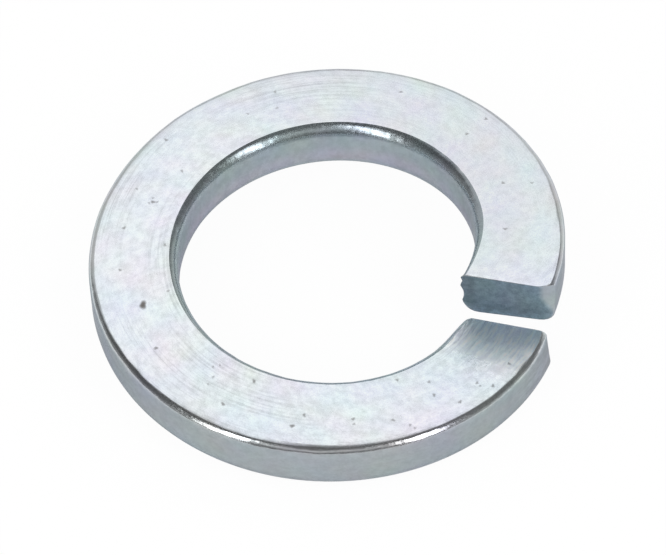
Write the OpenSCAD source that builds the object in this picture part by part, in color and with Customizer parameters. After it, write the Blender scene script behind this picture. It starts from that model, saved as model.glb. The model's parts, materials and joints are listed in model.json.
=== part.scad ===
// Spring lock washer.
// One turn of rounded rectangular steel wire, wound as a left-hand helix about +Z
// and sheared through on the +X side, so that its ends stand one rise apart.
// The origin lies on the axis, level with the underside of the lower end.

/* [Ring] */
// Diameter of the bore that the bolt passes through
bore_d = 20.4; // [20.2:0.1:21.2]
// Width of the wire, from the bore to the outer wall
wire_w = 6.1; // [5.8:0.1:6.2]
// Thickness of the wire, halfway across its width
wire_t = 4.05; // [3.8:0.05:4.2]
// How much thicker the wire is at the bore than at the outer wall
keystone = 0.26; // [0:0.02:0.4]
// Height that the helix gains in one full turn
rise = 4.3; // [4:0.1:5.2]

/* [Wire edges] */
// Radius of the upper edge at the bore
upper_bore_edge_r = 0.8; // [0.3:0.05:1]
// Radius of the upper edge at the outer wall
upper_outer_edge_r = 0.5; // [0.2:0.05:0.8]
// Radius of the lower edge at the bore
lower_bore_edge_r = 1.35; // [0.6:0.05:1.5]
// Radius of the lower edge at the outer wall
lower_outer_edge_r = 1.05; // [0.4:0.05:1.3]

/* [Slit] */
// Width of the slit, measured along the turn halfway across the wire
slit_w = 0.5; // [0.3:0.05:1.5]
// Depth of the sharp burred edge's rounding, on the far side of each shear
burr_edge_r = 0.04; // [0.04:0.02:0.2]

/* [Lower end] */
// Angle between the cut face and the radial line
lower_skew = 9.5; // [0:0.5:12]
// Angle at which the cut face leans away from the vertical
lower_lean = 0; // [-4:0.5:6]
// Depth to which the shear drew down the upper edge
lower_top_draw = 0.1; // [0.1:0.05:0.5]
// Height by which the shear swelled the top of the wire at the cut face
lower_top_swell = 0.25; // [0:0.05:0.4]
// Distance from the cut face over which the top is swollen
lower_swell_reach = 4.5; // [2:0.5:6]
// Depth to which the shear drew in the two sides, at the top of the wire
lower_side_draw = 0.35; // [0.1:0.05:0.5]
// Height above the underside at which the drawn sides are back at full width
lower_side_foot = 1; // [0.8:0.1:1.5]
// Distance from the cut face over which the sides are drawn in
lower_side_reach = 1.8; // [0.8:0.1:3]

/* [Higher end] */
// Angle between the cut face and the radial line
higher_skew = 11; // [0:0.5:12]
// Angle at which the cut face leans away from the vertical
higher_lean = 4.5; // [-4:0.5:6]
// Depth to which the shear drew up the lower edge
higher_under_draw = 0.15; // [0.1:0.05:0.5]
// Depth to which the shear drew in the outer side, at the top of the wire
higher_side_draw = 0.25; // [0.1:0.05:0.6]
// Distance from the cut face over which the outer side is drawn in
higher_side_reach = 0.4; // [0.2:0.05:0.8]

/* [Hidden] */

bore_r = bore_d / 2;
outer_r = bore_r + wire_w;
mid_r = bore_r + wire_w / 2;

// Facets along the turn, across each rounded wire edge and over each drawn end
turn_steps = 96;
edge_steps = 4;
draw_steps = 6;
round_fn = 240;

// The swept wire stands this far proud of the bore and the outer wall, which are cut true
skin = 0.08;
// Where a rounded edge breaks off to run out into the skin, short of its quarter turn
break_angle = 12;

// Rounded edge of radius edge_r about c, as [r, z] points between two angles
function edge_arc(c, edge_r, from, to) = [
    for (k = [0 : edge_steps])
        let (a = from + (to - from) * k / edge_steps)
        [c[0] + edge_r * cos(a), c[1] + edge_r * sin(a)]
];

// Point where the tangent at the broken end of a rounded edge meets the skin
function run_out(c, edge_r, a, skin_r) =
    let (
        end_r = c[0] + edge_r * cos(a),
        end_z = c[1] + edge_r * sin(a)
    )
    [skin_r, end_z - (skin_r - end_r) * cos(a) / sin(a)];

// Keystone form of coiled wire: thicker at the bore, thinner at the outer wall
function keystoned(p) =
    let (share = 1 - keystone / wire_t * (p[0] - mid_r) / wire_w)
    [p[0], wire_t / 2 + (p[1] - wire_t / 2) * share];

// Outline of the whole wire as [r, z] points, anticlockwise from its upper outer edge
wire_outline =
    let (
        uo_r = upper_outer_edge_r,
        ub_r = upper_bore_edge_r,
        lb_r = lower_bore_edge_r,
        lo_r = lower_outer_edge_r,
        uo = [outer_r - uo_r, wire_t - uo_r],
        ub = [bore_r + ub_r, wire_t - ub_r],
        lb = [bore_r + lb_r, lb_r],
        lo = [outer_r - lo_r, lo_r],
        points = concat(
            [run_out(uo, uo_r, break_angle, outer_r + skin)],
            edge_arc(uo, uo_r, break_angle, 90),
            edge_arc(ub, ub_r, 90, 180 - break_angle),
            [run_out(ub, ub_r, 180 - break_angle, bore_r - skin)],
            [run_out(lb, lb_r, 180 + break_angle, bore_r - skin)],
            edge_arc(lb, lb_r, 180 + break_angle, 270),
            edge_arc(lo, lo_r, 270, 360 - break_angle),
            [run_out(lo, lo_r, 360 - break_angle, outer_r + skin)]
        )
    )
    [for (p = points) keystoned(p)];

// How far a drawn edge of a given depth and reach has receded, at a distance from the cut face
function draw(distance, depth, reach) =
    distance >= reach ? 0 : depth * (1 - sqrt(1 - pow(1 - distance / reach, 2)));

// 0 at a height above the underside, and 1 at the top of the wire
function height_share(p, foot) = min(max((p[1] - foot) / (wire_t - foot), 0), 1);

// How far the top of the wire is swollen, at a distance from the lower cut face
function swell(p, distance) =
    p[1] > wire_t / 2 ? lower_top_swell * pow(max(1 - distance / lower_swell_reach, 0), 2) : 0;

// A point of the outline, moved by the draw of the lower end: its top and both its sides
function drawn_low(p, distance) =
    let (
        share = height_share(p, lower_side_foot),
        side = draw(distance, lower_side_draw + skin, lower_side_reach) * share,
        top = draw(distance, lower_top_draw, lower_top_draw) - swell(p, distance),
        burr = draw(distance, burr_edge_r, burr_edge_r)
    )
    [p[0] + (p[0] < mid_r ? side + burr : -side - burr),
        p[1] + (p[1] > wire_t / 2 ? -top : burr)];

// A point of the outline, moved by the draw of the higher end: its underside and outer side
function drawn_high(p, distance) =
    let (
        share = height_share(p, 0),
        outer_side = draw(distance, higher_side_draw + skin, higher_side_reach) * share,
        under = draw(distance, higher_under_draw, higher_under_draw),
        burr = draw(distance, burr_edge_r + skin, burr_edge_r + skin)
    )
    [p[0] + (p[0] < mid_r ? burr : -outer_side - burr),
        p[1] + (p[1] > wire_t / 2 ? -burr : under)];

// Angle about the axis at which a cut face meets the wire at the point p
function cut_angle(p, middle, skew, lean) =
    asin((middle + tan(skew) * (p[0] - mid_r) - tan(lean) * (p[1] - wire_t / 2)) / p[0]);

function high_angle(p) = cut_angle(p, slit_w / 2, higher_skew, higher_lean);
function low_angle(p) = 360 + cut_angle(p, -slit_w / 2, lower_skew, lower_lean);

// Angle that an arc length makes at the radius of the point p
function arc_angle(length, p) = length / p[0] * 180 / PI;

// The helix falls as the angle grows, from the higher end round to the lower end
function place(p, angle) =
    [p[0] * cos(angle), p[0] * sin(angle), p[1] + rise * (360 - angle) / 360];

// Distances from a cut face at which a drawn end has a station, closest near the face
function draw_distances(reach) =
    [for (k = [0 : draw_steps - 1]) reach * (1 - cos(90 * k / draw_steps))];

higher_stations = [
    for (d = draw_distances(higher_side_reach))
        [for (p = wire_outline)
            let (q = drawn_high(p, d))
            place(q, high_angle(q) + arc_angle(d, q))]
];

turn_stations = [
    for (k = [0 : turn_steps])
        [for (p = wire_outline)
            let (
                from = high_angle(p) + arc_angle(higher_side_reach, p),
                to = low_angle(p) - arc_angle(lower_side_reach, p),
                left = (to - from) * (1 - k / turn_steps),
                d = lower_side_reach + left * PI / 180 * mid_r
            )
            place([p[0], p[1] + swell(p, d)], to - left)]
];

lower_distances = draw_distances(lower_side_reach);

lower_stations = [
    for (k = [draw_steps - 1 : -1 : 0])
        [for (p = wire_outline)
            let (
                d = lower_distances[k],
                q = drawn_low(p, d)
            )
            place(q, low_angle(q) - arc_angle(d, q))]
];

// A solid through a row of closed outlines that all have as many points
module loft(stations) {
    count = len(stations[0]);
    last = len(stations) - 1;
    sides = [
        for (i = [0 : last - 1], j = [0 : count - 1])
            let (
                a = i * count + j,
                b = i * count + (j + 1) % count
            )
            each [[a, b, b + count], [a, b + count, a + count]]
    ];
    first_cap = [for (j = [0 : count - 1]) count - 1 - j];
    last_cap = [for (j = [0 : count - 1]) last * count + j];
    polyhedron([for (s = stations) each s], concat(sides, [first_cap, last_cap]));
}

module spring_lock_washer() {
    height = rise + wire_t + keystone;
    margin = 1;
    color([0.8, 0.83, 0.86])
    difference() {
        intersection() {
            loft(concat(higher_stations, turn_stations, lower_stations));
            translate([0, 0, -margin])
                cylinder(r = outer_r, h = height + 2 * margin, $fn = round_fn);
        }
        translate([0, 0, -2 * margin])
            cylinder(r = bore_r, h = height + 4 * margin, $fn = round_fn);
    }
}

spring_lock_washer();
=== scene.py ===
"""The looks of the spring lock washer: one dense mesh of plated spring steel in a small studio."""

import json
import math

import bmesh
import bpy
import numpy as np
from mathutils import Matrix, Quaternion, Vector


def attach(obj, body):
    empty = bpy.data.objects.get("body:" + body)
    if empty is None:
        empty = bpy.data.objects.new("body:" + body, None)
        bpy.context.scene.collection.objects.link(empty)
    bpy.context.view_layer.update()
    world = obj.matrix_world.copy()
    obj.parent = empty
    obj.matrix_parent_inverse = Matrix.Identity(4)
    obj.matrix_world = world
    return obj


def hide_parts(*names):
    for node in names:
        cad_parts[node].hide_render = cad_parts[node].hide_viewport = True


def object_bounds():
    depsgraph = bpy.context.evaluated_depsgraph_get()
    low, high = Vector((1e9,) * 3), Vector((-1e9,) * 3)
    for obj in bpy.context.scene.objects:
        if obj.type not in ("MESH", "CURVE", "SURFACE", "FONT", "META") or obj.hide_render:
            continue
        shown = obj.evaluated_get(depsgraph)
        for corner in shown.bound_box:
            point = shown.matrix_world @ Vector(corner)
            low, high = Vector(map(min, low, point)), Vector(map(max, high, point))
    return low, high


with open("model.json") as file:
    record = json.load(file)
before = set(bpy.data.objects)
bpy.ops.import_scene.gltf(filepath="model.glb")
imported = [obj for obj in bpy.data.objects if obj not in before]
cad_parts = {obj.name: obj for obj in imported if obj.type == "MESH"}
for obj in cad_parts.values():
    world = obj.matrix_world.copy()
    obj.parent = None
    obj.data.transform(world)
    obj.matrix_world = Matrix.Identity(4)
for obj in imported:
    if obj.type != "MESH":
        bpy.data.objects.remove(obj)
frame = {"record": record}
cad_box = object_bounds()

MM = 0.001

# The wire, in millimetres, as the solid has it
OUTER_R = cad_box[1].x / MM
BORE_R = frame["record"]["mounts"][0]["dims"]["r_mm"]
WIRE_W = OUTER_R - BORE_R
MID_R = (OUTER_R + BORE_R) / 2
WIRE_T = 4.05
KEYSTONE = 0.26
RISE = 4.3
UPPER_OUTER_EDGE_R = 0.56
UPPER_BORE_EDGE_R = 0.86
BORE_BREAK_ANGLE = 18
LOWER_OUTER_EDGE_R = 1.05
LOWER_BORE_EDGE_R = 1.35

# How much the radius of the bore's upper edge swells and shrinks, and where it is widest,
# in degrees round the turn
BORE_EDGE_CHANGE = 0.18
BORE_EDGE_WIDEST = 98

# The edges at the two ends, where the wire was bent less, and how far the change reaches
HIGHER_UPPER_OUTER_EDGE_R = 0.38
HIGHER_UPPER_BORE_EDGE_R = 0.35
HIGHER_LOWER_BORE_EDGE_R = 0.95
HIGHER_SHARP_REACH = 8
LOWER_UPPER_OUTER_EDGE_R = 0.46
LOWER_UPPER_BORE_EDGE_R = 0.6
LOWER_SHARP_REACH = 5

# The top turns down a little before it meets its outer edge
CROWN_ANGLE = 7
CROWN_REACH = 0.4

# The slit and its two sheared ends, in millimetres and degrees
HIGHER_CUT_Y = 0.3
LOWER_CUT_Y = -0.22
BURR_EDGE_R = 0.04
LOWER_SKEW = 9.5
LOWER_LEAN = 0
LOWER_TOP_DRAW = 0.1
LOWER_TOP_LIFT = 0.25
LOWER_LIFT_REACH = 4.5
LOWER_SIDE_TAPER = 0.27
LOWER_SIDE_REACH = 2.4
LOWER_CORNER_DRAW = 0.12
LOWER_CORNER_REACH = 0.4
LOWER_SIDE_FOOT = 1.0
HIGHER_SKEW = 11
HIGHER_LEAN = 4.5
HIGHER_UNDER_DRAW = 0.15
HIGHER_SIDE_DRAW = 0.05
HIGHER_SIDE_REACH = 0.15
HIGHER_TOP_DRAW = 0.05
HIGHER_TOP_REACH = 0.34

# A facet that the shear left at the outer side of the higher face. It is widest at its full
# height and runs out at its foot, and the look of the cut fades over its inner part.
FACET_W = 1.0
FACET_FOOT = 0.9
FACET_FULL_HEIGHT = 2.6
FACET_ANGLE = 24
FACET_SOFTNESS = 0.05
FACET_FADE = 3

# Burrs that stand out from the bore wall at the higher end: height, depth and half width
BURRS = ((3.85, 0.14, 0.18), (2.95, 0.21, 0.40), (1.15, 0.14, 0.38))
BURR_REACH = 0.4

# Wear, in millimetres: the uneven edges, and the shallow lines on the flats
OUTER_EDGE_WEAR = 0.022
BORE_EDGE_WEAR = 0.010
EDGE_RIPPLE = 0.010
EDGE_GRAIN = 0.006
FINE_LINES = 0.0022
BROAD_LINES = 0.004

# How finely the mesh follows the wire
STATIONS = 740
END_STATIONS = 18
EDGE_POINTS = 11
LOWER_EDGE_POINTS = 6
TOP_POINTS = 50
WALL_POINTS = 9
UNDER_POINTS = 12
CAP_RINGS = 18
# What share of its size the cut face's outline keeps: two rings at its rim, then all the rest
CAP_RIM = (0.99, 0.97)
CAP_OUTERMOST, CAP_INNERMOST = 0.93, 0.02

# The camera, as fitted to the photograph: degrees, and millimetres from the washer's middle
CAMERA_AZIMUTH = 24.75
CAMERA_ELEVATION = 50.29
CAMERA_ROLL = -3.017
CAMERA_DISTANCE = 337.56
CAMERA_AIM_RIGHT = 0.403
CAMERA_AIM_UP = -0.569
CAMERA_LENS = 265.98
MIDDLE_Z = 4.18

CAMERA_SENSOR = 36
CAMERA_CLIP = (0.01, 10)
PHOTO_W, PHOTO_H = 666, 555

# Pits in the plating, at pixels of the photograph: x, y and width in millimetres
FACE_PITS = (
    (143, 305, 0.42), (156, 348, 0.22), (254, 381, 0.22), (223, 404, 0.22), (292, 426, 0.24),
    (213, 367, 0.16), (220, 365, 0.14), (213, 377, 0.16), (208, 384, 0.14), (304, 415, 0.20),
    (120, 270, 0.18), (168, 291, 0.16), (397, 380, 0.18), (429, 382, 0.18), (434, 395, 0.20),
    (460, 402, 0.20), (477, 383, 0.18), (480, 386, 0.14), (509, 364, 0.20), (493, 386, 0.20),
    (353, 419, 0.20), (354, 424, 0.16), (393, 420, 0.18), (410, 425, 0.16), (415, 428, 0.16),
    (467, 134, 0.20), (486, 119, 0.20), (503, 183, 0.20), (532, 183, 0.18), (505, 229, 0.20),
    (401, 92, 0.20), (275, 92, 0.18), (277, 108, 0.16), (248, 114, 0.16), (166, 140, 0.20),
    (182, 171, 0.18), (153, 202, 0.22), (137, 189, 0.16), (124, 228, 0.20), (165, 245, 0.18),
    (149, 203, 0.16), (157, 202, 0.16), (153, 198, 0.14), (549, 286, 0.28),
)
WALL_PITS = ((96, 305, 0.26),)
PIT_MARGIN = 0.12
PIT_DEPTH = 0.028
PIT_SPREAD = 1.7
PIT_FULL_WIDTH = 0.6
PIT_LEAST_DARKNESS = 0.1
PIT_LOBES = (0.1, 0.28)
PIT_SEED = 31

# Colours of the plating and of the sheared steel, as metal. The top has the plating's own colour;
# the walls and edges are darker copies of the same plating, painted shade for the dimmer
# surroundings they mirror
TOP_COLOUR = (0.85, 0.90, 0.955, 1)
OUTER_WALL_SHADED_COLOUR = (0.385, 0.425, 0.450, 1)
OUTER_EDGE_SHADED_COLOUR = (0.63, 0.66, 0.68, 1)
BORE_WALL_TOP_SHADED_COLOUR = (0.365, 0.425, 0.455, 1)
BORE_WALL_FOOT_SHADED_COLOUR = (0.42, 0.44, 0.50, 1)
BORE_EDGE_SHADED_COLOUR = (0.45, 0.52, 0.55, 1)
CUT_COLOUR = (0.265, 0.350, 0.405, 1)
# The cut face is painted lighter towards its foot: painted light against the dark slit it mirrors
# there
CUT_FOOT_PAINTED_LIGHT_COLOUR = (0.66, 0.80, 0.86, 1)
PIT_COLOUR = (0.27, 0.26, 0.25, 1)
# Plating that is a little dull reflects less than clean metal does at a grazing angle
GRAZING_COLOUR = (0.64, 0.66, 0.70, 1)

# Where one colour turns into the next: by how far the surface faces up, which parts the top from
# the painted shade of the walls and edges, then by the height above the underside in millimetres
TOP_FACING = (0.94, 0.985)
OUTER_WALL_FACING = (0.25, 0.66)
BORE_WALL_FACING = (0.10, 0.62)
BORE_FOOT_HEIGHT = (1.5, 2.7)
CUT_FOOT_HEIGHT = (-0.2, 1.2)

# How much lighter and darker the noises make the colours
TINT_CHANGE = 0.20
BLOTCH_SHADE = (0.945, 1.045)
FINE_SHADE = (0.96, 1.035)
CUT_BLOTCH_SHADE = (0.86, 1.12)
CUT_FINE_SHADE = (0.92, 1.08)
# The streaks darken partly by the drawn lines' own tone and partly as painted shade along them
STREAK_TONE_AND_PAINTED_SHADE_OFF_TOP, STREAK_TONE_AND_PAINTED_SHADE_ON_TOP = -0.03, -0.16
STREAK_FREE_SHADE = 1.025
TORN_GRAIN_AND_PAINTED_LIGHT = (-0.04, 0.14)

# The streaks begin a while after the higher end, in millimetres along the wire
STREAK_START, STREAK_FULL = 8, 20

# The torn zone on top of the lower end, in millimetres before the cut face. Its grain is painted
# mostly lighter: partly its own tone, partly painted light where it mirrors the dark cut face
TORN_START, TORN_FULL = 4.4, 2.4

# Roughness of each surface, at the two ends of the noise that varies it
TOP_ROUGHNESS = (0.28, 0.18)
WALL_ROUGHNESS = (0.38, 0.28)
OUTER_EDGE_ROUGHNESS = (0.14, 0.24)
BORE_EDGE_ROUGHNESS = (0.20, 0.32)
CUT_ROUGHNESS = 0.5
PIT_ROUGHNESS = 0.5
TORN_EXTRA_ROUGHNESS = 0.16

# Relief of the finest marks, in millimetres
LINE_RELIEF = 0.012
TORN_RELIEF = 0.04
BLOTCH_RELIEF = 0.005
FINE_RELIEF = 0.0025

# The studio, in metres and degrees
FLOOR_HALF_SIZE = 2.0
FLOOR_COLOUR = (0.97, 0.97, 0.97, 1)
FLOOR_WHITENESS = 0.95
FLOOR_MIRRORED_WHITENESS = 0.4
WORLD_LIGHT = 0.8
HOOD_RADIUS = 0.8
HOOD_BACK = -0.35
HOOD_WIDEST = 155
HOOD_UPPER_REACH = 142
HOOD_WIDE_BELOW = (50, -12)
HOOD_ROWS, HOOD_COLUMNS = 46, 81
SKYLINE_HEIGHT = 7
SKYLINE_COLUMNS = 41
SKYLINE_GLOW = 0.35

# Light panels: azimuth, elevation, distance, width, height, lean to the left and radiance
PANELS = {
    "panel_left": (-45, 36, 0.5, 0.12, 0.52, 0, 3.0),
    "panel_right": (42, 36, 0.5, 0.12, 0.48, -12, 3.0),
    "panel_back": (180, 61, 0.7, 1.0, 0.36, 0, 0.12),
}

# How bright the hood is: everywhere, more to the right, low down at the sides, and at its ends
HOOD_GLOW = 0.11
RIGHT_GLOW = 0.06
LOW_GLOW = 0.16
FAR_LEFT_GLOW = 0.5
FAR_RIGHT_GLOW = 0.36
# Where those glows begin and over how many degrees they rise
LOW_FROM_AZIMUTH, LOW_FROM_ELEVATION = (35, 25), (28, -12)
FAR_LEFT_FROM = (-116, -14)
FAR_RIGHT_FROM_AZIMUTH, FAR_RIGHT_FROM_ELEVATION = (100, 25), (44, -20)
# Soft paler patches on it: strength, azimuth and its spread, elevation and its spread
HOOD_PATCHES = ((0.50, 0, 34, 37, 13), (0.3, -28, 14, 52, 10))

WIRE_LENGTH = 2 * math.pi * MID_R - HIGHER_CUT_Y + LOWER_CUT_Y


def ease(share):
    return share * share * (3 - 2 * share)


knots_of = {}


def smooth_noise(u, v, seed):
    """Smooth random values from -1 to 1 over a plane, with a knot at each whole number."""
    if seed not in knots_of:
        knots_of[seed] = np.random.default_rng(seed).uniform(-1, 1, (256, 256))
    knots = knots_of[seed]
    u, v = np.broadcast_arrays(u, v)
    iu, iv = np.floor(u).astype(int), np.floor(v).astype(int)
    fu, fv = ease(u - iu), ease(v - iv)

    def knot(i, j):
        return knots[i % 256, j % 256]

    near = knot(iu, iv) * (1 - fu) + knot(iu + 1, iv) * fu
    far = knot(iu, iv + 1) * (1 - fu) + knot(iu + 1, iv + 1) * fu
    return near * (1 - fv) + far * fv


def edge_arc(r, z, radius, start, end, count):
    a = np.radians(np.linspace(start, end, count))
    return np.stack([r + radius * np.cos(a), z + radius * np.sin(a)], 1)


def run(start, end, count):
    """Points between two others, without those two."""
    share = np.linspace(0, 1, count + 2)[1:-1, None]
    return start + (end - start) * share


def wire_outline(upper_outer_r, upper_bore_r, lower_bore_r):
    """The section as [r, z] points, anticlockwise from its upper outer edge."""
    slope = math.tan(math.radians(CROWN_ANGLE))
    drop = slope * CROWN_REACH / 2
    up, low = upper_outer_r, LOWER_OUTER_EDGE_R
    centre_z = WIRE_T - drop - up * math.cos(math.radians(CROWN_ANGLE))
    upper_outer = edge_arc(OUTER_R - up, centre_z, up, 0, 90 - CROWN_ANGLE, EDGE_POINTS)
    lower_outer = edge_arc(OUTER_R - low, low, low, 270, 360, LOWER_EDGE_POINTS)
    up, low = upper_bore_r, lower_bore_r
    # The bore's upper edge breaks off from the top at an angle
    centre_z = WIRE_T - up * math.cos(math.radians(BORE_BREAK_ANGLE))
    upper_bore = edge_arc(BORE_R + up, centre_z, up, 90 + BORE_BREAK_ANGLE, 180, EDGE_POINTS)
    lower_bore = edge_arc(BORE_R + low, low, low, 180, 270, LOWER_EDGE_POINTS)
    across = run(upper_outer[-1], upper_bore[0], TOP_POINTS)
    turned = np.clip(1 - (upper_outer[-1][0] - across[:, 0]) / CROWN_REACH, 0, 1)
    across[:, 1] = WIRE_T - drop * turned**2
    points = np.concatenate([
        upper_outer,
        across,
        upper_bore,
        run(upper_bore[-1], lower_bore[0], WALL_POINTS),
        lower_bore,
        run(lower_bore[-1], lower_outer[0], UNDER_POINTS),
        lower_outer,
        run(lower_outer[-1], upper_outer[0], WALL_POINTS),
    ])
    share = 1 - KEYSTONE / WIRE_T * (points[:, 0] - MID_R) / WIRE_W
    points[:, 1] = WIRE_T / 2 + (points[:, 1] - WIRE_T / 2) * share
    return points


def draw(distance, depth, reach):
    """How far a drawn edge has receded, at a distance from the cut face."""
    left = np.clip(1 - distance / reach, 0, 1)
    return depth * (1 - np.sqrt(1 - left**2))


def drawn(points, low_distance, high_distance):
    """The section at a distance from each cut face, with the shears' drawn edges and burrs."""
    r, z = points[:, 0].copy(), points[:, 1].copy()
    # From 0 at the wire's middle to 1 at its edges, so that its flat sides move evenly
    inward = -np.clip((r - MID_R) / (WIRE_W / 2 - UPPER_OUTER_EDGE_R), -1, 1)
    upward = -np.clip((z - WIRE_T / 2) / (WIRE_T / 2 - UPPER_OUTER_EDGE_R), -1, 1)
    outer = r > MID_R
    upper = z > WIRE_T / 2

    height = np.clip((z - LOWER_SIDE_FOOT) / (WIRE_T - LOWER_SIDE_FOOT), 0, 1)
    taper = LOWER_SIDE_TAPER * np.clip(1 - low_distance / LOWER_SIDE_REACH, 0, 1) ** 2
    side = (taper + draw(low_distance, LOWER_CORNER_DRAW, LOWER_CORNER_REACH)) * height
    burr = draw(low_distance, BURR_EDGE_R, BURR_EDGE_R)
    top = draw(low_distance, LOWER_TOP_DRAW, LOWER_TOP_DRAW)
    r += inward * (side + burr)
    lift = LOWER_TOP_LIFT * np.clip(1 - low_distance / LOWER_LIFT_REACH, 0, 1) ** 2
    z += upward * np.where(upper, top, burr) + np.clip(-upward, 0, 1) * lift

    height = np.clip(points[:, 1] / WIRE_T, 0, 1)
    side = draw(high_distance, HIGHER_SIDE_DRAW, HIGHER_SIDE_REACH) * height
    burr = draw(high_distance, BURR_EDGE_R, BURR_EDGE_R)
    under = draw(high_distance, HIGHER_UNDER_DRAW, HIGHER_UNDER_DRAW)
    top = draw(high_distance, HIGHER_TOP_DRAW, HIGHER_TOP_REACH)
    r += inward * (np.where(outer, side, 0) + burr)
    bore_share = np.clip(0.5 + (MID_R - r) / WIRE_W, 0, 1)
    z += upward * np.where(upper, top * bore_share, under)

    left = np.clip(1 - high_distance / BURR_REACH, 0, 1) ** 2
    for at, depth, half_width in BURRS:
        swell = np.exp(-(((points[:, 1] - at) / half_width) ** 2))
        r -= depth * swell * left * np.clip(inward, 0, 1) ** 6
    return np.stack([r, z], 1)


def worn(outline, points, along):
    """The section with the uneven edges and the shallow lines of drawn wire."""
    r, z = outline[:, 0], outline[:, 1]
    step = np.roll(outline, -1, 0) - np.roll(outline, 1, 0)
    out = np.stack([step[:, 1], -step[:, 0]], 1)
    out /= np.linalg.norm(out, axis=1)[:, None]
    # 1 halfway round each rounded upper edge, and 0 on the flats
    edge = np.where(z > WIRE_T / 2, 4 * np.abs(out[:, 0]) * np.clip(out[:, 1], 0, 1), 0)
    edge = np.clip(edge, 0, 1)
    # The two sides read different rows of the noise
    side = np.where(r > MID_R, 11.0, 47.0)
    wear = np.where(r > MID_R, OUTER_EDGE_WEAR, BORE_EDGE_WEAR)
    rough = wear * smooth_noise(along * 0.35, side, 1)
    rough = rough + EDGE_RIPPLE * smooth_noise(along * 1.1, side + 3 * r, 2)
    rough = rough + EDGE_GRAIN * smooth_noise(along * 3.1, side + 5 * z, 3)
    lines = FINE_LINES * smooth_noise(along * 0.12, r * 3.3, 4)
    lines = lines + BROAD_LINES * smooth_noise(along * 0.5, r * 0.8, 5)
    flat = np.clip(out[:, 1], 0, 1) ** 8
    return points + out * (edge * rough + flat * lines)[:, None]


def cut_angle(points, middle, skew, lean):
    """The angle about the axis at which a cut face meets each point, in radians."""
    r, z = points[:, 0], points[:, 1]
    y = middle + math.tan(math.radians(skew)) * (r - MID_R)
    y -= math.tan(math.radians(lean)) * (z - WIRE_T / 2)
    return np.arcsin(y / r)


def facet_depth(points):
    """How far a point is past the facet's soft inner edge. The facet narrows towards its foot."""
    height = np.clip((points[:, 1] - FACET_FOOT) / (FACET_FULL_HEIGHT - FACET_FOOT), 0, 1)
    past = points[:, 0] - (OUTER_R - FACET_W * height)
    return (past + np.sqrt(past**2 + FACET_SOFTNESS**2)) / 2


def high_angle(points):
    """The facet recedes from the cut plane."""
    angle = cut_angle(points, HIGHER_CUT_Y, HIGHER_SKEW, HIGHER_LEAN)
    return angle + facet_depth(points) * math.tan(math.radians(FACET_ANGLE)) / OUTER_R


def low_angle(points):
    return 2 * math.pi + cut_angle(points, LOWER_CUT_Y, LOWER_SKEW, LOWER_LEAN)


def place(points, angle):
    """The helix falls as the angle grows, from the higher end round to the lower end."""
    r, z = points[:, 0], points[:, 1]
    z = z + RISE * (1 - angle / (2 * math.pi))
    return np.stack([r * np.cos(angle), r * np.sin(angle), z], 1)


def station_distances():
    """Distances along the turn, closest near the two cut faces."""
    near = LOWER_SIDE_REACH * (1 - np.cos(np.linspace(0, math.pi / 2, END_STATIONS)))
    far = WIRE_LENGTH - near[::-1]
    middle = np.linspace(near[-1], far[0], STATIONS - 2 * END_STATIONS + 2)[1:-1]
    return np.concatenate([near, middle, far])


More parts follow.
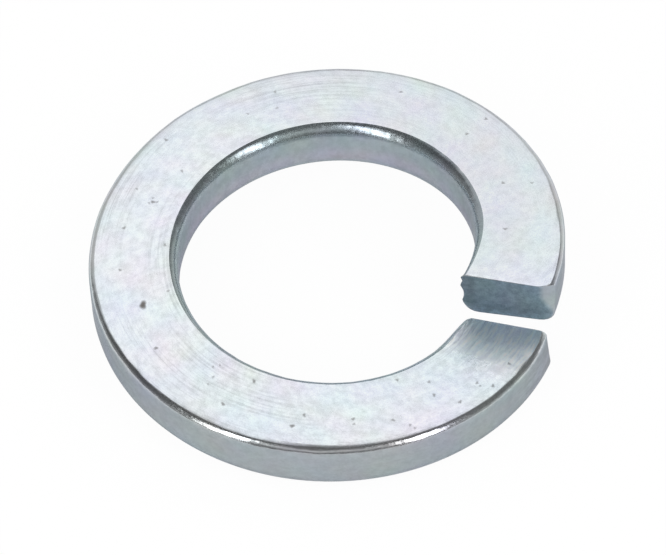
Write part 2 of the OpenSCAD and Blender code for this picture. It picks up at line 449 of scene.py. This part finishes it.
def build_washer():
    plain = wire_outline(UPPER_OUTER_EDGE_R, UPPER_BORE_EDGE_R, LOWER_BORE_EDGE_R)
    higher = wire_outline(
        HIGHER_UPPER_OUTER_EDGE_R, HIGHER_UPPER_BORE_EDGE_R, HIGHER_LOWER_BORE_EDGE_R
    )
    lower = wire_outline(LOWER_UPPER_OUTER_EDGE_R, LOWER_UPPER_BORE_EDGE_R, LOWER_BORE_EDGE_R)
    swollen = wire_outline(
        UPPER_OUTER_EDGE_R, UPPER_BORE_EDGE_R + BORE_EDGE_CHANGE, LOWER_BORE_EDGE_R
    )
    distances = station_distances()
    total = distances[-1]

    def section(d):
        """The worn and drawn section at a distance from the higher cut face."""
        to_higher = ease(np.clip(1 - d / HIGHER_SHARP_REACH, 0, 1))
        to_lower = ease(np.clip(1 - (total - d) / LOWER_SHARP_REACH, 0, 1))
        swell = math.cos(2 * math.pi * d / total - math.radians(BORE_EDGE_WIDEST))
        outline = plain + (swollen - plain) * swell
        outline += (higher - outline) * to_higher + (lower - outline) * to_lower
        return worn(outline, drawn(outline, total - d, d), d)

    places, wires, cuts = [], [], []

    def add(points, share, cut):
        angle = high_angle(points) * (1 - share) + low_angle(points) * share
        places.append(place(points, angle))
        along = np.full(len(points), share * total)
        wires.append(np.column_stack([along, points[:, 0], points[:, 1]]))
        cuts.append(cut * (1 - FACET_FADE * (1 - share) * facet_depth(points) / FACET_W))

    for d in distances:
        add(section(d), d / total, 0.0)
    count = len(plain)
    faces = []
    for i in range(len(distances) - 1):
        a = i * count + np.arange(count)
        b = i * count + (np.arange(count) + 1) % count
        faces.append(np.column_stack([a, b, b + count, a + count]))

    def cap(end, share, first_ring, flip):
        """Rings of the end's outline, shrinking to a line across its middle."""
        before = first_ring
        middle_z = WIRE_T / 2
        inner = np.linspace(CAP_OUTERMOST, CAP_INNERMOST, CAP_RINGS)
        for left in np.concatenate([CAP_RIM, inner]):
            pts = end.copy()
            half_w = (WIRE_W - WIRE_T) / 2
            core = np.clip(end[:, 0] - MID_R, -half_w, half_w) + MID_R
            pts[:, 0] = core + (end[:, 0] - core) * left
            pts[:, 1] = middle_z + (end[:, 1] - middle_z) * left
            start = sum(len(p) for p in places)
            add(pts, share, 1.0)
            a = before + np.arange(count)
            b = before + (np.arange(count) + 1) % count
            c = start + (np.arange(count) + 1) % count
            d = start + np.arange(count)
            quad = [a, b, c, d] if flip else [d, c, b, a]
            faces.append(np.column_stack(quad))
            before = start
        return before

    inner_first = cap(section(0.0), 0.0, 0, False)
    inner_last = cap(section(total), 1.0, (len(distances) - 1) * count, True)

    points = np.concatenate(places) * MM
    quads = np.concatenate(faces)
    # The two innermost rings are closed by one face each
    holes = [
        list(inner_first + np.arange(count))[::-1],
        list(inner_last + np.arange(count)),
    ]
    mesh = bpy.data.meshes.new("washer")
    mesh.from_pydata(points.tolist(), [], quads.tolist() + holes)
    mesh.update()
    # The shading breaks where the bore's upper edge breaks off from the top
    ends = np.empty(2 * len(mesh.edges), dtype=np.int32)
    mesh.edges.foreach_get("vertices", ends)
    ends = ends.reshape(-1, 2)
    breaks = (ends % count == EDGE_POINTS + TOP_POINTS).all(axis=1)
    breaks &= (ends < len(distances) * count).all(axis=1)
    sharp = mesh.attributes.new("sharp_edge", "BOOLEAN", "EDGE")
    sharp.data.foreach_set("value", breaks)
    wire = mesh.attributes.new("wire", "FLOAT_VECTOR", "POINT")
    wire.data.foreach_set("vector", np.concatenate(wires).astype(np.float32).ravel())
    cut = mesh.attributes.new("cut", "FLOAT", "POINT")
    cut.data.foreach_set("value", np.concatenate(cuts).astype(np.float32))
    for polygon in mesh.polygons:
        polygon.use_smooth = True
    return mesh


class Nodes:
    """Short calls that add and join the nodes of one material."""

    def __init__(self, tree):
        self.tree = tree

    def add(self, kind, settings=(), **inputs):
        made = self.tree.nodes.new("ShaderNode" + kind)
        for name, value in dict(settings).items():
            setattr(made, name, value)
        for name, value in inputs.items():
            self.feed(made.inputs[name.replace("_", " ")], value)
        return made

    def feed(self, socket, value):
        if isinstance(value, bpy.types.NodeSocket):
            self.tree.links.new(value, socket)
        else:
            socket.default_value = value

    def math(self, operation, *values):
        made = self.tree.nodes.new("ShaderNodeMath")
        made.operation = operation
        for socket, value in zip(made.inputs, values):
            self.feed(socket, value)
        return made.outputs[0]

    def ramp(self, value, low, high, to_low=0.0, to_high=1.0):
        """A smooth step of value, from to_low at low to to_high at high."""
        made = self.add(
            "MapRange", {"interpolation_type": "SMOOTHSTEP"},
            Value=value, From_Min=low, From_Max=high, To_Min=to_low, To_Max=to_high,
        )
        return made.outputs[0]

    def vary(self, noise, low, high):
        """A number that follows a noise smoothly from low to high."""
        return self.ramp(noise, 0.3, 0.7, low, high)

    def mix(self, share, low, high):
        """A colour between two others."""
        made = self.add("Mix", {"data_type": "RGBA"})
        self.feed(made.inputs[0], share)
        self.feed(made.inputs[6], low)
        self.feed(made.inputs[7], high)
        return made.outputs[2]

    def blend(self, share, low, high):
        """A number between two others."""
        made = self.add("Mix", {"data_type": "FLOAT"})
        self.feed(made.inputs[0], share)
        self.feed(made.inputs[2], low)
        self.feed(made.inputs[3], high)
        return made.outputs[0]

    def vector(self, operation, *values):
        made = self.add("VectorMath", {"operation": operation})
        for socket, value in zip(made.inputs, values):
            self.feed(socket, value)
        return made.outputs[0]

    def noise(self, place, scale, detail=2.0, roughness=0.5, output=0):
        made = self.add("TexNoise", Vector=place, Scale=scale, Detail=detail, Roughness=roughness)
        return made.outputs[output]

    def scaled(self, place, x, y, z):
        return self.vector("MULTIPLY", place, (x, y, z))

    def attribute(self, name, output="Fac"):
        return self.add("Attribute", {"attribute_name": name}).outputs[output]


class WirePlace:
    """Where a point is on the wire, as masks from 0 to 1, and the noises that vary its look."""

    def __init__(self, n):
        # Along the wire, out from the axis and up from the underside, in millimetres
        wire = n.attribute("wire", "Vector")
        section = n.add("SeparateXYZ", Vector=wire).outputs
        self.along, self.height = section["X"], section["Z"]
        self.cut = n.attribute("cut")
        self.pit = n.attribute("pit")
        normal = n.add("NewGeometry").outputs["Normal"]
        normal_z = n.add("SeparateXYZ", Vector=normal).outputs["Z"]
        self.top = n.ramp(normal_z, *TOP_FACING)
        self.bore_side = n.ramp(section["Y"], MID_R + 0.5, MID_R - 0.5)
        facing = n.math("ABSOLUTE", normal_z)
        outer_wall = n.ramp(facing, *OUTER_WALL_FACING, 1.0, 0.0)
        bore_wall = n.ramp(facing, *BORE_WALL_FACING, 1.0, 0.0)
        self.wall = n.blend(self.bore_side, outer_wall, bore_wall)
        self.torn = n.ramp(self.along, WIRE_LENGTH - TORN_START, WIRE_LENGTH - TORN_FULL)

        self.lines = n.noise(n.scaled(wire, 0.16, 5.5, 5.5), 1.0, 3, 0.6)
        self.line_mask = n.noise(n.scaled(wire, 0.08, 0.4, 0.4), 1.0, 2)
        self.grain = n.noise(n.scaled(wire, 0.6, 3.6, 3.6), 1.0, 2, 0.6)
        self.blotch = n.noise(wire, 1.9, 3, 0.6)
        self.fine = n.noise(wire, 9.0, 2, 0.6)
        self.tint = n.noise(wire, 0.35, 2, 0.5, 1)


def plating_colour(n, at):
    # Walls and edges take darker colours than the top: painted shade by the way each surface faces
    edge = n.mix(at.bore_side, OUTER_EDGE_SHADED_COLOUR, BORE_EDGE_SHADED_COLOUR)
    above_foot = n.ramp(at.height, *BORE_FOOT_HEIGHT)
    bore_wall = n.mix(above_foot, BORE_WALL_FOOT_SHADED_COLOUR, BORE_WALL_TOP_SHADED_COLOUR)
    wall = n.mix(at.bore_side, OUTER_WALL_SHADED_COLOUR, bore_wall)
    colour = n.mix(at.top, n.mix(at.wall, edge, wall), TOP_COLOUR)

    # Painted light: the cut face grows lighter towards its foot
    above_foot = n.ramp(at.height, *CUT_FOOT_HEIGHT)
    cut = n.mix(above_foot, CUT_FOOT_PAINTED_LIGHT_COLOUR, CUT_COLOUR)
    cut_shade = n.math(
        "MULTIPLY", n.vary(at.blotch, *CUT_BLOTCH_SHADE), n.vary(at.fine, *CUT_FINE_SHADE)
    )
    colour = n.mix(at.cut, colour, n.vector("MULTIPLY", cut, cut_shade))

    change = (TINT_CHANGE,) * 3
    least = (1 - TINT_CHANGE / 2,) * 3
    colour = n.vector("MULTIPLY", colour, n.vector("MULTIPLY_ADD", at.tint, change, least))

    shade = n.math("MULTIPLY", n.vary(at.blotch, *BLOTCH_SHADE), n.vary(at.fine, *FINE_SHADE))
    # Streaks: the drawn lines' own tone, with painted shade along them, strongest on the top
    streak = n.math("MULTIPLY", n.ramp(at.lines, 0.46, 0.64), n.ramp(at.line_mask, 0.42, 0.62))
    streak = n.math("MULTIPLY", streak, n.ramp(at.along, STREAK_START, STREAK_FULL))
    depth = n.blend(at.top, STREAK_TONE_AND_PAINTED_SHADE_OFF_TOP, STREAK_TONE_AND_PAINTED_SHADE_ON_TOP)
    streak = n.math("MULTIPLY", streak, depth)
    shade = n.math("MULTIPLY", shade, n.math("ADD", streak, STREAK_FREE_SHADE))
    # The torn zone's grain, mostly lighter: its own tone plus painted light
    torn = n.math("MULTIPLY", at.torn, n.ramp(at.grain, 0.40, 0.62, *TORN_GRAIN_AND_PAINTED_LIGHT))
    shade = n.math("MULTIPLY", shade, n.math("ADD", torn, 1.0))
    colour = n.vector("MULTIPLY", colour, shade)
    return n.mix(n.ramp(at.pit, 0.0, 1.0), colour, PIT_COLOUR)


def plating_roughness(n, at):
    outer_edge = n.vary(at.fine, *OUTER_EDGE_ROUGHNESS)
    bore_edge = n.vary(at.fine, *BORE_EDGE_ROUGHNESS)
    edge = n.blend(at.bore_side, outer_edge, bore_edge)
    rough = n.blend(at.wall, edge, n.vary(at.blotch, *WALL_ROUGHNESS))
    torn = n.math("MULTIPLY", at.torn, TORN_EXTRA_ROUGHNESS)
    top = n.math("ADD", n.vary(at.blotch, *TOP_ROUGHNESS), torn)
    rough = n.blend(at.top, rough, top)
    rough = n.blend(at.cut, rough, CUT_ROUGHNESS)
    return n.blend(at.pit, rough, PIT_ROUGHNESS)


def plating_relief(n, at):
    """The normal, bumped by each noise in turn."""
    bumps = (
        (at.lines, LINE_RELIEF, 1.0),
        (at.grain, TORN_RELIEF, at.torn),
        (at.blotch, BLOTCH_RELIEF, 1.0),
        (at.fine, FINE_RELIEF, 1.0),
    )
    inputs = {}
    for height, depth, strength in bumps:
        made = n.add("Bump", Height=height, Distance=depth * MM, Strength=strength, **inputs)
        inputs = {"Normal": made.outputs[0]}
    return inputs["Normal"]


def plated_steel():
    material = bpy.data.materials.new("zinc_plated_steel")
    material.use_nodes = True
    shader = material.node_tree.nodes["Principled BSDF"]
    n = Nodes(material.node_tree)
    at = WirePlace(n)
    n.feed(shader.inputs["Base Color"], plating_colour(n, at))
    n.feed(shader.inputs["Roughness"], plating_roughness(n, at))
    n.feed(shader.inputs["Normal"], plating_relief(n, at))
    shader.inputs["Metallic"].default_value = 1
    shader.inputs["Specular Tint"].default_value = GRAZING_COLOUR
    return material


def studio_direction(azimuth, elevation):
    """A unit vector from the washer. Azimuth 0 points to the camera, and 90 to its right."""
    turn = math.radians(CAMERA_AZIMUTH + azimuth)
    lift = math.radians(elevation)
    flat = math.cos(lift)
    return Vector((math.sin(turn) * flat, -math.cos(turn) * flat, math.sin(lift)))


def camera_pose():
    """The camera's place in millimetres, and its own right, up and backward directions."""
    back = studio_direction(0, CAMERA_ELEVATION)
    level_right = studio_direction(90, 0)
    level_up = back.cross(level_right)
    roll = math.radians(CAMERA_ROLL)
    right = level_right * math.cos(roll) + level_up * math.sin(roll)
    up = level_up * math.cos(roll) - level_right * math.sin(roll)
    place_mm = Vector((0, 0, MIDDLE_Z)) + back * CAMERA_DISTANCE
    place_mm += right * CAMERA_AIM_RIGHT + up * CAMERA_AIM_UP
    return place_mm, right, up, back


def add_camera():
    place_mm, right, up, back = camera_pose()
    data = bpy.data.cameras.new("camera")
    data.lens, data.sensor_width = CAMERA_LENS, CAMERA_SENSOR
    data.clip_start, data.clip_end = CAMERA_CLIP
    camera = bpy.data.objects.new("camera", data)
    bpy.context.scene.collection.objects.link(camera)
    turn = Matrix((right, up, back)).transposed().to_4x4()
    camera.matrix_world = Matrix.Translation(place_mm * MM) @ turn
    bpy.context.scene.camera = camera


def pixel_ray(x, y):
    """The direction in which the camera sees a pixel of the photograph."""
    _, right, up, back = camera_pose()
    step = CAMERA_SENSOR / CAMERA_LENS / PHOTO_W
    return right * (x - PHOTO_W / 2) * step + up * (PHOTO_H / 2 - y) * step - back


def on_upper_face(x, y):
    """The place on the wire's upper face that the camera sees at a pixel."""
    start, ray = camera_pose()[0], pixel_ray(x, y)
    z = WIRE_T + RISE / 2
    for _ in range(10):
        spot = start + ray * ((z - start.z) / ray.z)
        angle = math.atan2(spot.y, spot.x) % (2 * math.pi)
        r = math.hypot(spot.x, spot.y)
        z = WIRE_T - KEYSTONE / 2 * (r - MID_R) / WIRE_W + RISE * (1 - angle / (2 * math.pi))
    return np.array(spot)


def on_outer_wall(x, y):
    """The place on the outer wall that the camera sees at a pixel."""
    start, ray = camera_pose()[0], pixel_ray(x, y)
    a = ray.x**2 + ray.y**2
    b = ray.x * start.x + ray.y * start.y
    c = start.x**2 + start.y**2 - OUTER_R**2
    return np.array(start + ray * ((-b - math.sqrt(b * b - a * c)) / a))


def add_pits(mesh):
    """Small irregular pits in the plating, on a locally finer mesh."""
    spots = [(on_upper_face(x, y), width * PIT_SPREAD) for x, y, width in FACE_PITS]
    spots += [(on_outer_wall(x, y), width * PIT_SPREAD) for x, y, width in WALL_PITS]
    form = bmesh.new()
    form.from_mesh(mesh)
    form.verts.ensure_lookup_table()
    points = np.array([v.co for v in form.verts]) / MM
    found = {}
    for spot, width in spots:
        away = np.linalg.norm(points - spot, axis=1)
        for i in np.flatnonzero(away < width / 2 + PIT_MARGIN):
            for edge in form.verts[i].link_edges:
                found[edge.index] = edge
    edges = [found[i] for i in sorted(found)]
    bmesh.ops.subdivide_edges(form, edges=edges, cuts=2, use_grid_fill=True)
    form.normal_update()
    form.verts.ensure_lookup_table()
    layer = form.verts.layers.float.new("pit")
    points = np.array([v.co for v in form.verts]) / MM
    draws = np.random.default_rng(PIT_SEED)
    for spot, width in spots:
        # Small pits are paler than wide ones
        least = PIT_LEAST_DARKNESS
        darkness = min(1, least + (1 - least) * width / PIT_FULL_WIDTH)
        lobes = draws.uniform(*PIT_LOBES, 2)
        phases = draws.uniform(0, 2 * math.pi, 2)
        offset = points - spot
        away = np.linalg.norm(offset, axis=1)
        for i in np.flatnonzero(away < width):
            vertex = form.verts[int(i)]
            bearing = math.atan2(offset[i][1], offset[i][0] + offset[i][2])
            radius = 1 + lobes[0] * math.sin(2 * bearing + phases[0])
            radius += lobes[1] * math.sin(3 * bearing + phases[1])
            depth = max(0.0, 1 - (away[i] / (radius * width / 2)) ** 2)
            vertex[layer] = max(vertex[layer], depth * darkness)
            vertex.co -= vertex.normal * depth * width * PIT_DEPTH * MM
    form.to_mesh(mesh)
    form.free()


def add_washer():
    washer = bpy.data.objects.new("washer", build_washer())
    add_pits(washer.data)
    bpy.context.scene.collection.objects.link(washer)
    washer.data.materials.append(plated_steel())
    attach(washer, "root")
    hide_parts("spring_lock_washer")


def add_panel(name, azimuth, elevation, distance, width, height, lean, radiance):
    """An elliptical light panel that faces the washer."""
    data = bpy.data.lights.new(name, "AREA")
    data.shape = "ELLIPSE"
    data.size, data.size_y = width, height
    data.energy = radiance * math.pi * width * height
    panel = bpy.data.objects.new(name, data)
    bpy.context.scene.collection.objects.link(panel)
    away = studio_direction(azimuth, elevation)
    panel.location = away * distance
    panel.rotation_mode = "QUATERNION"
    turn = Quaternion((0, 0, 1), math.radians(lean))
    panel.rotation_quaternion = away.to_track_quat("Z", "Y") @ turn


def floor_whiteness(n):
    """The share of plain white in the floor, as the camera sees it and as it is mirrored."""
    path = n.add("LightPath").outputs
    mirrored = n.math("MAXIMUM", path["Is Glossy Ray"], path["Is Transmission Ray"])
    mirrored = n.math("MULTIPLY", mirrored, FLOOR_MIRRORED_WHITENESS)
    seen = n.math("MULTIPLY", path["Is Camera Ray"], FLOOR_WHITENESS)
    return n.math("MAXIMUM", seen, mirrored)


def add_floor():
    material = bpy.data.materials.new("floor")
    material.use_nodes = True
    tree = material.node_tree
    shader = tree.nodes["Principled BSDF"]
    shader.inputs["Base Color"].default_value = FLOOR_COLOUR
    shader.inputs["Roughness"].default_value = 1
    shader.inputs["Specular IOR Level"].default_value = 0
    n = Nodes(tree)
    white = n.add("Emission", Color=(1, 1, 1, 1), Strength=1.0)
    mixed = n.add("MixShader")
    n.feed(mixed.inputs[0], floor_whiteness(n))
    n.feed(mixed.inputs[1], shader.outputs[0])
    n.feed(mixed.inputs[2], white.outputs[0])
    n.feed(tree.nodes["Material Output"].inputs[0], mixed.outputs[0])
    size = FLOOR_HALF_SIZE
    corners = [(-size, -size, 0), (size, -size, 0), (size, size, 0), (-size, size, 0)]
    mesh = bpy.data.meshes.new("floor")
    mesh.from_pydata(corners, [], [(0, 1, 2, 3)])
    mesh.materials.append(material)
    floor = bpy.data.objects.new("floor", mesh)
    bpy.context.scene.collection.objects.link(floor)


def rising(value, start, reach):
    """A smooth step from 0 at start to 1 at start + reach. It falls where reach is negative."""
    return ease(min(max((value - start) / reach, 0), 1))


def hood_reach(elevation):
    """How far round the hood goes at an elevation, in degrees to each side of the camera."""
    level = math.cos(math.radians(elevation))
    plane = math.degrees(math.acos(max(HOOD_BACK / max(level, 1e-6), -1)))
    upper = max(plane, HOOD_UPPER_REACH)
    return upper + (HOOD_WIDEST - upper) * rising(elevation, *HOOD_WIDE_BELOW)


def hood_glow(azimuth, elevation):
    """How bright the hood is in one direction."""
    to_right = min(max((azimuth + 90) / 180, 0), 1)
    glow = HOOD_GLOW + RIGHT_GLOW * to_right
    for strength, patch_azimuth, width, patch_elevation, height in HOOD_PATCHES:
        aside = ((azimuth - patch_azimuth) / width) ** 2
        above = ((elevation - patch_elevation) / height) ** 2
        glow += strength * math.exp(-aside - above)
    low = (LOW_GLOW + RIGHT_GLOW * to_right) * rising(abs(azimuth), *LOW_FROM_AZIMUTH)
    low *= rising(elevation, *LOW_FROM_ELEVATION)
    far_right = FAR_RIGHT_GLOW * rising(azimuth, *FAR_RIGHT_FROM_AZIMUTH)
    low += far_right * rising(elevation, *FAR_RIGHT_FROM_ELEVATION)
    return glow + max(FAR_LEFT_GLOW * rising(azimuth, *FAR_LEFT_FROM), low)


def add_hood():
    """A dim hood on the camera's side and a dim skyline behind, which only the metal sees."""
    grid = []
    for elevation in np.linspace(0, 90, HOOD_ROWS):
        reach = hood_reach(elevation)
        turns = np.linspace(-reach, reach, HOOD_COLUMNS)
        grid.append([studio_direction(turn, elevation) for turn in turns])
    front, right = studio_direction(0, 0), studio_direction(90, 0)
    skyline = []
    open_angle = 180 - HOOD_WIDEST
    for elevation in (0, SKYLINE_HEIGHT):
        turns = np.linspace(180 - open_angle, 180 + open_angle, SKYLINE_COLUMNS)
        skyline.append([studio_direction(turn, elevation) for turn in turns])
    mesh = bpy.data.meshes.new("hood")
    form = bmesh.new()
    glow = form.verts.layers.float.new("glow")
    for rows, is_hood in ((grid, True), (skyline, False)):
        made = []
        for row in rows:
            line = []
            for direction in row:
                vertex = form.verts.new(direction * HOOD_RADIUS)
                ahead, aside = direction.dot(front), direction.dot(right)
                azimuth = math.degrees(math.atan2(aside, ahead))
                elevation = math.degrees(math.asin(min(max(direction.z, -1), 1)))
                vertex[glow] = hood_glow(azimuth, elevation) if is_hood else SKYLINE_GLOW
                line.append(vertex)
            made.append(line)
        for a, b in zip(made, made[1:]):
            for i in range(len(a) - 1):
                form.faces.new((a[i], a[i + 1], b[i + 1], b[i]))
    form.to_mesh(mesh)
    form.free()
    material = bpy.data.materials.new("hood")
    material.use_nodes = True
    material.node_tree.nodes.clear()
    n = Nodes(material.node_tree)
    light = n.add("Emission", Color=(1, 1, 1, 1), Strength=n.attribute("glow"))
    n.feed(n.add("OutputMaterial").inputs[0], light.outputs[0])
    mesh.materials.append(material)
    hood = bpy.data.objects.new("hood", mesh)
    bpy.context.scene.collection.objects.link(hood)
    hood.visible_camera = False
    hood.visible_diffuse = False
    hood.visible_shadow = False
    hood.visible_transmission = False


def light_world():
    world = bpy.data.worlds.new("studio")
    bpy.context.scene.world = world
    world.use_nodes = True
    world.node_tree.nodes.clear()
    n = Nodes(world.node_tree)
    level = n.blend(n.add("LightPath").outputs["Is Camera Ray"], WORLD_LIGHT, 1.0)
    background = n.add("Background", Color=(1, 1, 1, 1), Strength=level)
    n.feed(n.add("OutputWorld").inputs[0], background.outputs[0])
    world.cycles.sampling_method = "NONE"


add_washer()
add_camera()
add_floor()
add_hood()
for panel_name, panel in PANELS.items():
    add_panel(panel_name, *panel)
light_world()

bpy.context.scene.view_settings.view_transform = "Standard"
